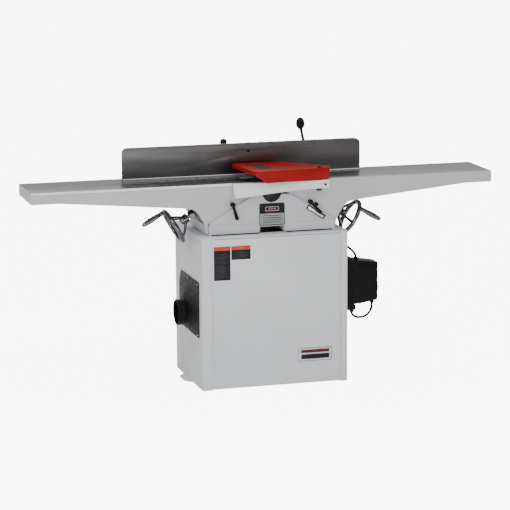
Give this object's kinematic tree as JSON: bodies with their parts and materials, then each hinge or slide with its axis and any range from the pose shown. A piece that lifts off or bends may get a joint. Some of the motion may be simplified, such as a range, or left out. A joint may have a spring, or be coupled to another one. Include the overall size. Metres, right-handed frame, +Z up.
{
  "type": "jointer",
  "caption": "Closed-stand woodworking jointer with long sloping-way tables, tilting fence, sprung cutter guard, handwheels and side switch.",
  "frame": {"origin": "centre of the machine's footprint box, on the floor", "axes": "+X along the tables towards the infeed end, +Y back towards the fence, +Z up"},
  "size_m": [1.842, 0.4214, 0.9999],
  "materials": {
    "white_paint": "satin",
    "table_iron": "ground and polished",
    "fence_iron": "ground and polished",
    "guard_red": "gloss red paint",
    "black_paint": "satin",
    "black_plastic": "moulded",
    "rubber": "matt",
    "chrome": "plated",
    "steel": "machined",
    "motor_paint": "satin",
    "green_plastic": "gloss",
    "red_plastic": "gloss"
  },
  "bodies": {
    "root": {"stand_body": "white_paint", "front_panel": "white_paint", "rear_panel": "white_paint", "dust_chute": "black_plastic", "chip_chute": "steel", "base_casting": "white_paint", "badge_plate": "black_plastic", "depth_scale": "chrome", "front_bearing_housing": "black_paint", "rear_bearing_housing": "black_paint", "front_bearing": "steel", "rear_bearing": "steel", "motor_housing": "motor_paint", "motor_mount": "steel", "drive_belt": "rubber", "belt_guard": "black_paint", "infeed_nut": "steel", "outfeed_nut": "steel", "fence_bracket": "white_paint", "switch_box": "black_plastic", "switch_cover": "black_plastic", "contactor": "black_plastic", "motor_lead": "rubber", "switch_lead": "rubber"},
    "cutterhead": {"cutterhead": "steel", "knife_1": "chrome", "knife_2": "chrome", "knife_3": "chrome", "knife_gib_1": "steel", "knife_gib_2": "steel", "knife_gib_3": "steel", "cutterhead_pulley": "motor_paint"},
    "motor_rotor": {"motor_shaft": "steel", "motor_pulley": "motor_paint"},
    "infeed_table": {"infeed_table": "table_iron", "infeed_gib": "steel", "rabbet_arm": "white_paint", "guard_post": "black_paint", "guard_spring": "steel"},
    "outfeed_table": {"outfeed_table": "table_iron", "outfeed_gib": "steel"},
    "infeed_handwheel": {"infeed_handwheel": "chrome", "infeed_screw": "steel"},
    "outfeed_handwheel": {"outfeed_handwheel": "chrome", "outfeed_screw": "steel"},
    "infeed_grip": {"infeed_grip": "chrome"},
    "outfeed_grip": {"outfeed_grip": "chrome"},
    "infeed_lock_lever": {"infeed_lock_lever": "black_plastic"},
    "outfeed_lock_lever": {"outfeed_lock_lever": "black_plastic"},
    "depth_stop_knob": {"depth_stop_knob": "black_plastic"},
    "cutter_guard": {"cutter_guard": "guard_red"},
    "fence_carriage": {"fence_carriage": "white_paint"},
    "fence": {"fence": "fence_iron", "fence_handle": "black_plastic", "tilt_quadrant": "steel"},
    "tilt_lock_lever": {"tilt_lock_lever": "black_plastic"},
    "slide_lock_lever": {"slide_lock_lever": "black_plastic"},
    "start_button": {"start_button": "green_plastic"},
    "stop_button": {"stop_button": "red_plastic"}
  },
  "joints": [
    {"name": "infeed_height", "type": "slide", "parent": "root", "child": "infeed_table", "axis": [0.866, 0, -0.5], "range_m": [0, 0.0254]},
    {"name": "outfeed_height", "type": "slide", "parent": "root", "child": "outfeed_table", "axis": [-0.866, 0, -0.5], "range_m": [0, 0.005]},
    {"name": "infeed_wheel_spin", "type": "hinge", "parent": "infeed_table", "child": "infeed_handwheel", "pos_m": [0.37356, -0.0333, 0.61905], "axis": [0.866, 0, -0.5], "range_deg": [0, 3601]},
    {"name": "outfeed_wheel_spin", "type": "hinge", "parent": "outfeed_table", "child": "outfeed_handwheel", "pos_m": [-0.34356, -0.0333, 0.61905], "axis": [-0.866, 0, -0.5], "range_deg": [0, 709.5]},
    {"name": "infeed_grip_spin", "type": "hinge", "parent": "infeed_handwheel", "child": "infeed_grip", "pos_m": [0.44505, -0.07997, 0.63166], "axis": [0.866, 0, -0.5], "continuous": true},
    {"name": "outfeed_grip_spin", "type": "hinge", "parent": "outfeed_handwheel", "child": "outfeed_grip", "pos_m": [-0.42272, -0.01073, 0.64496], "axis": [-0.866, 0, -0.5], "continuous": true},
    {"name": "infeed_lock", "type": "hinge", "parent": "infeed_table", "child": "infeed_lock_lever", "pos_m": [0.167, -0.1703, 0.711], "axis": [0, 1, 0], "range_deg": [-35, 25]},
    {"name": "outfeed_lock", "type": "hinge", "parent": "outfeed_table", "child": "outfeed_lock_lever", "pos_m": [-0.144, -0.1703, 0.715], "axis": [0, 1, 0], "range_deg": [-30, 30]},
    {"name": "depth_stop_turn", "type": "hinge", "parent": "infeed_table", "child": "depth_stop_knob", "pos_m": [0.1925, -0.1653, 0.699], "axis": [0, 1, 0], "range_deg": [-180, 180]},
    {"name": "guard_swing", "type": "hinge", "parent": "infeed_table", "child": "cutter_guard", "pos_m": [0.203, -0.1693, 0.81], "axis": [0, 0, 1], "range_deg": [0, 75], "stiffness_Nm_per_rad": 1.5, "springref_deg": -34.38},
    {"name": "fence_slide", "type": "slide", "parent": "root", "child": "fence_carriage", "axis": [0, 1, 0], "range_m": [-0.005, 0.045]},
    {"name": "fence_tilt", "type": "hinge", "parent": "fence_carriage", "child": "fence", "pos_m": [0.015, 0.0607, 0.806], "axis": [-1, 0, 0], "range_deg": [0, 45]},
    {"name": "tilt_lock", "type": "hinge", "parent": "fence_carriage", "child": "tilt_lock_lever", "pos_m": [-0.092, 0.1144, 0.837], "axis": [-1, 0, 0], "range_deg": [0, 30]},
    {"name": "slide_lock", "type": "hinge", "parent": "fence_carriage", "child": "slide_lock_lever", "pos_m": [0.065, 0.1447, 0.82], "axis": [0, 0, 1], "range_deg": [0, 60]},
    {"name": "cutterhead_spin", "type": "hinge", "parent": "root", "child": "cutterhead", "pos_m": [0.015, 0, 0.7535], "axis": [0, 1, 0], "continuous": true},
    {"name": "motor_spin", "type": "hinge", "parent": "root", "child": "motor_rotor", "pos_m": [0.075, 0, 0.165], "axis": [0, 1, 0], "continuous": true},
    {"name": "start_press", "type": "slide", "parent": "root", "child": "start_button", "axis": [-1, 0, 0], "range_m": [0, 0.004], "stiffness_N_per_m": 400, "springref_m": -0.002},
    {"name": "stop_press", "type": "slide", "parent": "root", "child": "stop_button", "axis": [-1, 0, 0], "range_m": [0, 0.004], "stiffness_N_per_m": 400, "springref_m": -0.002}
  ],
  "couplings": [
    {"joint": "infeed_wheel_spin", "follows": "infeed_height", "rad_per_m": 2473.7},
    {"joint": "outfeed_wheel_spin", "follows": "outfeed_height", "rad_per_m": 2473.7},
    {"joint": "motor_spin", "follows": "cutterhead_spin", "ratio": 0.62771}
  ]
}
